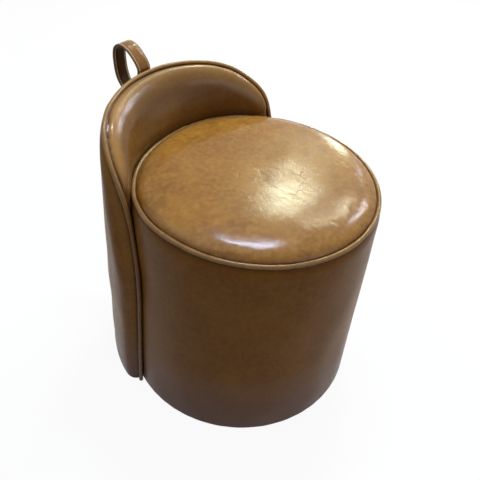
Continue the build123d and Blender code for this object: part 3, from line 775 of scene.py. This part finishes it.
def outerSkin(inset, count, rows):
    # from the crest over the rear roll down to the foot
    angle, drawn = backStations(count, inset), max(inset, 0.0)
    top = topAt(angle, back["edgeLand"] + inset)
    bottom = back["floor"] + drawn + 4.0
    t = np.linspace(0, 1, rows)[:, None]
    z = top - (top - bottom) * (1 - np.cos(t * np.pi / 2)) ** 0.8
    a = np.broadcast_to(angle, z.shape)
    crest = crestRadius(z)
    side = outerRadius(a, z)
    inside = np.maximum(insideEdge(a, z) - drawn, 0.0)
    r = crest + (side - drawn - crest) * quarterRound(inside / (0.9 * (side - crest)))
    return a, z, np.maximum(r, crest + back["slot"]), inside


def seamGathers(a, z, inside, pitch, drift, sway, reach, height):
    # small gathers that fade away from the piping's seam: a wave along the edge whose pitch wanders
    along = np.radians(a) * 220 + z
    wave = np.sin(along * pitch + drift * np.sin(along * sway))
    return wave * np.exp(-inside / reach) * height * (inside > 0.4)


def makeInnerCover():
    a, z, r, inside = innerSkin(-2.6, 261, 46, 84)
    points = placed(r, a, z)
    upper = smoothStep((z - back["restZ"] - 4) / 16)
    # shallow waves on the pad, and gathers along the piping seam
    waves = softField(points, 88.0, 41) * 0.42 + softField(points, 37.0, 42) * 0.14
    gather = seamGathers(a, z, inside, 0.62, 1.5, 0.05, 5.0, 0.32)
    r = r - waves * upper * smoothStep(inside / 14) - gather * upper
    # the roll puffs up in front of the piping, square to the arch, and leaves a narrow dark groove behind it
    front = np.maximum(crestRadius(z) - r, 0.0)
    puff = 3.8 * smoothStep((front - 2.6) / 5.5) * (1 - smoothStep((front - 9.0) / 20.0)) * upper
    sideways, rise = edgeNormal(a, z)
    # painted sheen: the roll is paler, most of all on the left and towards the top
    paintedSheen = (0.45 + 0.60 * smoothStep((-a - 4.0) / 30.0)) * (0.40 + 0.60 * smoothStep((z - 428.0) / 34.0))
    away = np.hypot(front, inside)
    tone = paintedSheen * smoothStep((away - 3.0) / 5.0) * (1 - smoothStep((away - 11.0) / 17.0)) * upper
    # painted shade: dark in the groove beside the piping, and darker low on the pad near the seat
    tone = tone - 1.15 * np.exp(-(away / 3.6) ** 2)
    tone = tone - 0.55 * (1 - smoothStep((z - back["restZ"]) / 26)) * smoothStep((inside - 6.0) / 10.0)
    a = a + np.degrees(sideways * puff / crestRadius(z))
    z = z + rise * puff
    # the foot turns out under the wall
    foot = ((back["crestSide"] + 0.1, 0.6), (218.4, 0.15))
    rows = [placed(np.full_like(a[0], radius), a[0], back["floor"] + up) for radius, up in foot]
    rows.append(placed(np.minimum(r[0], back["drumFit"]), a[0], z[0] + 1.2))
    grid = np.concatenate([np.stack(rows), placed(r, a, z)[1:]])
    # painted shade on the foot rows under the wall
    tone = np.concatenate([np.full_like(a[:2], -0.4), tone])
    return makeSheet("backInnerCover", grid, tone, wrapCols=False)


dress(thicken(makeInnerCover(), drum["leather"]), padLeather, "back_inner_cover")


def makeOuterCover():
    a, z, r, inside = outerSkin(-2.6, 261, 106)
    points = placed(r, a, z)
    loose = smoothStep(inside / 18)
    low = smoothStep((130 - z) / 110)
    upright = softField(points * [1, 1, 0.16], 46.0, 51) * (0.25 + 0.35 * low)
    waves = np.maximum(softField(points, 110.0, 52) * 0.45 + upright, -0.9)
    r = r + waves * loose * smoothStep((z - 8) / 30)
    r = r + seamGathers(a, z, inside, 0.55, 2, 0.04, 4.0, 0.22)
    # the foot draws in a little, as a pulled hem does
    r = r - 1.6 * smoothStep((26 - z) / 22) * loose
    away = np.hypot(r - crestRadius(z), inside)
    # painted highlight: a paler band along the roll beside the crest; painted shade in the groove at the piping and
    # towards the foot
    tone = 0.30 * smoothStep((away - 3) / 5) * (1 - smoothStep((away - 12) / 16))
    tone = tone - 1.1 * np.exp(-(away / 3.6) ** 2) - 0.4 * smoothStep((20 - z) / 14)
    # then it rounds under and runs in to the inner cover
    turn, bend, hem = np.linspace(0, np.pi / 2, 6)[1:, None], 4.0, back["crestSide"] + 0.05
    footR = np.maximum(r[-1] - bend * (1 - np.cos(turn)), back["crestSide"])
    foot = placed(footR, a[:1] + 0 * footR, back["floor"] + bend - bend * np.sin(turn))
    under = [placed(np.maximum(footR[-1] * (1 - t) + hem * t, hem), a[0], back["floor"] + 0.1)
             for t in (0.35, 0.7, 1.0)]
    grid = np.concatenate([placed(r, a, z), foot, np.stack(under)])
    # painted shade on the foot that rounds under
    tone = np.concatenate([tone, np.full_like(a[:8], -0.45)])
    return makeSheet("backOuterCover", grid, tone, wrapCols=False)


dress(thicken(makeOuterCover(), drum["leather"]), wallLeather, "back_outer_cover")


def makeBackPad(name, which):
    # closed foam: the panel's own skin drawn in by the leather, and the former's face behind it
    if which == "inner":
        a, z, r, _ = innerSkin(1.9, 141, 20, 30)
        other = np.maximum(back["formerFront"], r + 0.3)
    else:
        a, z, r, inside = outerSkin(2.4, 141, 60)
        other = np.maximum(back["formerRear"], innerRadius(a, z, inside, 1.9) + 0.2)
        other = np.minimum(other, r - 0.3)
    front, behind = placed(r, a, z), placed(other, a, z)
    grid = np.concatenate([front, behind[::-1]])
    rows, cols = grid.shape[:2]
    faces = gridFaces(rows, cols, wrapRows=True).tolist()
    for k in range(rows // 2 - 1):      # the two upright ends
        for col, turned in ((0, False), (cols - 1, True)):
            quad = [k * cols + col, (k + 1) * cols + col, (rows - 2 - k) * cols + col, (rows - 1 - k) * cols + col]
            faces.append(quad[::-1] if turned else quad)
    return makePiece(name, grid, faces, flip=True)


dress(makeBackPad("backInnerPad", "inner"), sheetFoamStuff, "back_inner_pad")
dress(makeBackPad("backOuterPad", "outer"), sheetFoamStuff, "back_outer_pad")


def backEdgePath(spacing):
    # the piping's line from foot to foot over the arch, at even steps of its own length
    angle = np.concatenate([-edgeAngle[::-1], edgeAngle[1:]])
    z = np.concatenate([edgeZ[::-1], edgeZ[1:]])
    path = placed(crestRadius(z), angle, z)
    length = lengthAlong(path)
    at = np.linspace(0, length[-1], int(length[-1] / spacing))
    return pointsAt(at, length, path), at


edgePath, edgeAt = backEdgePath(3.0)
edgeOut = unit(edgePath * [1, 1, 0])
edgePath = edgePath + edgeOut * (0.25 * np.sin(edgeAt / 37.0) + 0.15 * np.sin(edgeAt / 13.0 + 1))[:, None]
edgeRadius = (seat["piping"] - 0.1) * (1 + 0.03 * softField(edgePath, 27.0, 6))
edgeHigh = smoothStep((edgePath[:, 2] - 330.0) / 90.0)[:, None]


def edgeShade(turn):
    # painted highlight along the top of the arch, painted shade in the groove and down the drum's side
    paleTone = 0.40 * edgeHigh * np.maximum(np.sin(turn), 0) ** 2
    return paleTone - 0.9 * smoothStep((-0.05 - np.sin(turn)) / 0.5) - 0.50 * (1 - edgeHigh)


backPiping = tube("backPiping", edgePath, edgeRadius, 18, False, edgeShade)
dress(backPiping, pipingLeather, "back_piping")
backCord = tube("backPipingCord", backEdgePath(5.0)[0], seat["cord"] - 0.1, 12, False)
dress(backCord, cottonCord, "back_piping_cord")
print("stool: back made")


# The pull loop: a stitched strap of two plies round its bracket's bar

loop = {
    "width": 26.0, "ply": 1.7, "height": 101.3, "depth": 51.0, "barY": 279.1, "barZ": 450.0, "eye": 4.5,
    "stitch": 4.3, "stitchIn": 3.2,
}
# its side view, as shares of its depth and height from the bar, from the front leg up and over to the rear one
loopShare = np.array([
    (-0.091, 0.030), (-0.092, 0.080), (-0.094, 0.160), (-0.105, 0.270), (-0.118, 0.380), (-0.136, 0.470),
    (-0.164, 0.550), (-0.196, 0.620), (-0.190, 0.690), (-0.110, 0.765), (0.020, 0.840), (0.190, 0.915),
    (0.390, 0.975), (0.610, 1.000), (0.825, 0.975), (0.962, 0.885), (1.000, 0.750), (0.975, 0.600),
    (0.930, 0.460), (0.840, 0.330), (0.705, 0.218), (0.535, 0.124), (0.365, 0.058), (0.235, 0.014), (0.130, -0.014),
])
eyeTurn = np.radians([-62.0, -90.0, -120.0, -150.0, -180.0])
eye = loop["eye"] * np.stack([np.cos(eyeTurn), np.sin(eyeTurn)], -1)
loopLine = smoothCurve(np.concatenate([loopShare * [loop["depth"], loop["height"]], eye]), closed=True)
lineLength = lengthAlong(loopLine)
loopLength = lineLength[-1]
loopAt = np.linspace(0, loopLength, 440, endpoint=False)      # even steps round the loop
loopPath = pointsAt(loopAt, lineLength, loopLine)
loopRun = unit(np.roll(loopPath, -1, axis=0) - np.roll(loopPath, 1, axis=0))
loopOut = np.stack([-loopRun[:, 1], loopRun[:, 0]], -1)     # square to the line, away from the loop's inside
stitches = int(round(loopLength / loop["stitch"]))


def strapWiden(height):
    # the strap is wider in the loop than round its bar
    return 1 + 0.115 * smoothStep((height - 14.0) / 22.0)


def onLoop(across, base, out, level):
    # points of the strap: across it, and out from the loop's line by `level`
    line = base[..., None, :] + out[..., None, :] * level[..., None]
    across = np.broadcast_to(across, line.shape[:-1])
    return np.stack([across, line[..., 0] + loop["barY"], line[..., 1] + loop["barZ"]], -1)


def makePly(name, nearer, outer, face):
    # a strap's ply: a flat band with soft edges, carried round the loop, its face grooved along two stitch lines
    share = np.array([1.0, 0.985, 0.94, 0.87, 0.80, 0.77, 0.74, 0.66, 0.3])
    drop = np.array([0.55, 0.22, 0.05, 0, 0, 0, 0, 0, 0])
    share, drop = np.concatenate([-share, [0], share[::-1]]), np.concatenate([drop, [0], drop[::-1]])
    half = loop["width"] / 2
    x, fromMiddle = share * half, np.abs(share * half)
    groove = np.exp(-((fromMiddle - half * 0.77) / 0.7) ** 2)
    swell = np.exp(-((fromMiddle - half * 0.55) / 3.0) ** 2)
    pitch = 0.5 + 0.5 * np.cos(2 * np.pi * stitches * loopAt / loopLength)[:, None]
    ripple = (np.sin(loopAt / 8.0) * np.sin(loopAt / 31.0))[:, None] * (fromMiddle < half * 0.9)
    lift = -0.30 * groove * (0.35 + 0.65 * pitch) + 0.10 * swell - drop + 0.10 * ripple
    band = []
    for level, xs in ((outer + face * lift, x), (np.full_like(lift, nearer), x[::-1])):
        band.append(onLoop(strapWiden(loopPath[:, 1:]) * xs, loopPath, loopOut, level))
    grid = np.concatenate(band, axis=1)
    rim, rimFrom = (-0.60, 0.90) if face > 0 else (0.95, 0.79)      # the outer ply's edge is dark, the lining's worn
    # painted shade in the stitch grooves and on the ply's hidden back face
    tone = rim * smoothStep((fromMiddle / half - rimFrom) / 0.07) - 0.75 * groove
    tone = np.broadcast_to(np.append(tone, np.full_like(x, -0.9)), grid.shape[:2])
    return makeSheet(name, grid, tone, wrapRows=True, flip=face > 0)


outerPly, innerPly = makePly("strapOuter", 0.05, loop["ply"], 1), makePly("strapInner", -0.05, -loop["ply"], -1)
dress(outerPly, strapLeather, "strap_leather", body="strap")
dress(innerPly, liningLeather, "strap_lining", body="strap")


def makeStitches(name, level):
    # one small sunken thread capsule per stitch along both edges
    sides, rings = 6, 5
    turn = np.linspace(0, 2 * np.pi, sides, endpoint=False)
    lengthways = np.linspace(-1, 1, rings)
    girth = np.sqrt(np.maximum(1 - (lengthways * 0.94) ** 4, 0))[:, None] * 0.95
    centre = (np.arange(stitches) + 0.5) / stitches * loopLength
    at = centre[:, None] + lengthways * loop["stitch"] * 0.37
    base, out = (pointsAt(at, loopAt, line, period=loopLength) for line in (loopPath, loopOut))
    sunk = level - np.sign(level) * (0.10 + 0.40 * np.abs(lengthways) ** 3)
    ring = sunk[:, None] + girth * np.sin(turn) * 0.8
    seam = strapWiden(base[..., 1:]) * (loop["width"] / 2 - loop["stitchIn"])
    verts = [onLoop(side * seam + girth * np.cos(turn), base, out, ring) for side in (-1, 1)]
    verts = np.concatenate(verts).reshape(-1, rings * sides, 3)
    shift = np.arange(len(verts))[:, None, None] * rings * sides
    firstEnd = np.arange(sides)[None, ::-1]
    lastEnd = np.arange(sides)[None] + (rings - 1) * sides
    faces = []
    for kind in (gridFaces(rings, sides, wrapCols=True), firstEnd, lastEnd):
        faces += (kind + shift).reshape(-1, kind.shape[1]).tolist()
    return makePiece(name, verts, faces)


dress(makeStitches("strapStitchesOuter", loop["ply"]), waxedThread, None, body="strap")
dress(makeStitches("strapStitchesInner", -loop["ply"]), waxedThread, None, body="strap")
print("stool: pull loop made")


# Floor, light and camera

def paleFloor():
    # almost white to the camera, and darker to the light that it would throw back at the stool
    m = Shading(bpy.data.materials.new("paleFloor"))
    matte = m.node("BsdfDiffuse", {"Color": (0.30, 0.29, 0.29)})
    pale = m.node("BsdfDiffuse", {"Color": (0.93, 0.93, 0.93)})
    white = m.node("Emission", {"Color": (1, 1, 1), "Strength": 1.0})
    shown = m.node("MixShader", {0: 0.93, 1: pale.outputs[0], 2: white.outputs[0]})
    return m.end("Material", m.node("MixShader", {0: m.seen(), 1: matte.outputs[0], 2: shown.outputs[0]}))


def studioWorld():
    m = Shading(bpy.data.worlds.new("studio"))
    room = m.node("Background", {"Color": (0.98, 0.98, 1.0), "Strength": 0.22})
    white = m.node("Background", {"Color": (1, 1, 1), "Strength": 1.0})
    return m.end("World", m.node("MixShader", {0: m.seen(), 1: room.outputs[0], 2: white.outputs[0]}))


scene = bpy.context.scene
reach = 30.0
corners = [(-reach, -reach, 0), (reach, -reach, 0), (reach, reach, 0), (-reach, reach, 0)]
floorMesh = bpy.data.meshes.new("studioFloor")
floorMesh.from_pydata(corners, [], [(0, 1, 2, 3)])
floorMesh.materials.append(paleFloor())
studioFloor = addObject("studioFloor", floorMesh)
scene.world = studioWorld()

# Lamps by name: the bearing they come from (0 from the back of the stool, 90 from its right), how high they stand,
# how far away, their two sides in metres, watts and tint
lamps = {
    "brightPane": (63.8, 43.0, 2.5, (0.32, 0.20), 15.0, (0.93, 1.0, 0.74)),
    "dimPane": (67.0, 30.0, 2.5, (0.42, 0.80), 2.4, (0.93, 1.0, 0.70)),
    "rimPane": (73.5, 12.0, 2.5, (0.18, 0.66), 8.0, (0.93, 1.0, 0.72)),
    "lowPane": (83.5, 23.0, 2.5, (0.10, 0.20), 1.6, (0.80, 0.84, 1.0)),
    "sidePane": (84.5, 43.5, 2.5, (0.22, 0.18), 6.5, (1.0, 0.98, 0.74)),
    "topPane": (77.0, 49.5, 2.5, (0.16, 0.09), 3.2, (1.0, 0.98, 0.75)),
    "coolPane": (99.0, 39.0, 2.5, (0.12, 0.44), 9.5, (0.92, 0.92, 1.0)),
    "overhead": (56.0, 73.5, 2.1, (0.52, 0.15), 30.0, (0.60, 0.73, 1.0)),
    "roomTop": (-52.0, 60.0, 2.6, (1.6, 1.6), 9.0, (1.0, 0.97, 0.90)),
    "roomSide": (-177.0, 30.0, 3.0, (2.0, 1.6), 11.0, (1.0, 0.96, 0.90)),
}
for name, (turn, up, far, size, watts, tint) in lamps.items():
    data = bpy.data.lights.new(name, "AREA")
    data.shape, data.size, data.size_y = "RECTANGLE", *size
    data.energy, data.color = watts, tint
    turn, up = math.radians(turn), math.radians(up)
    away = Vector((math.sin(turn) * math.cos(up), math.cos(turn) * math.cos(up), math.sin(up)))
    made = addObject(name, data)
    made.location = Vector((0, axisY, 0.30)) + away * far
    made.rotation_mode = "QUATERNION"
    made.rotation_quaternion = (-away).to_track_quat("-Z", "Y")

# The camera: its place in millimetres from the drum's axis, how it is turned, and the photo's own middle in pixels
lens = {
    "place": (-735.6, -474.8, 1058.9), "turn": -151.14, "up": 36.31, "roll": 9.13, "pixels": 633.8,
    "middle": (294.0, 183.0), "sensor": 36.0, "picture": 480.0,
}
cameraData = bpy.data.cameras.new("studioCamera")
camera = addObject("studioCamera", cameraData)
cameraData.sensor_width = lens["sensor"]
cameraData.lens = lens["sensor"] * lens["pixels"] / lens["picture"]
cameraData.shift_x = (lens["picture"] / 2 - lens["middle"][0]) / lens["picture"]
cameraData.shift_y = (lens["middle"][1] - lens["picture"] / 2) / lens["picture"]
turn, up, roll = (math.radians(lens[k]) for k in ("turn", "up", "roll"))
behind = Vector((math.cos(up) * math.cos(turn), math.cos(up) * math.sin(turn), math.sin(up)))
right = Vector((0, 0, 1)).cross(behind).normalized()
above = behind.cross(right)
rolledRight = right * math.cos(roll) + above * math.sin(roll)
rolledAbove = above * math.cos(roll) - right * math.sin(roll)
pose = Matrix((rolledRight, rolledAbove, behind)).transposed().to_4x4()
pose.translation = Vector(lens["place"]) * 0.001 + Vector((0, axisY, 0))
camera.matrix_world = pose
scene.camera = camera

scene.view_settings.view_transform = "Standard"
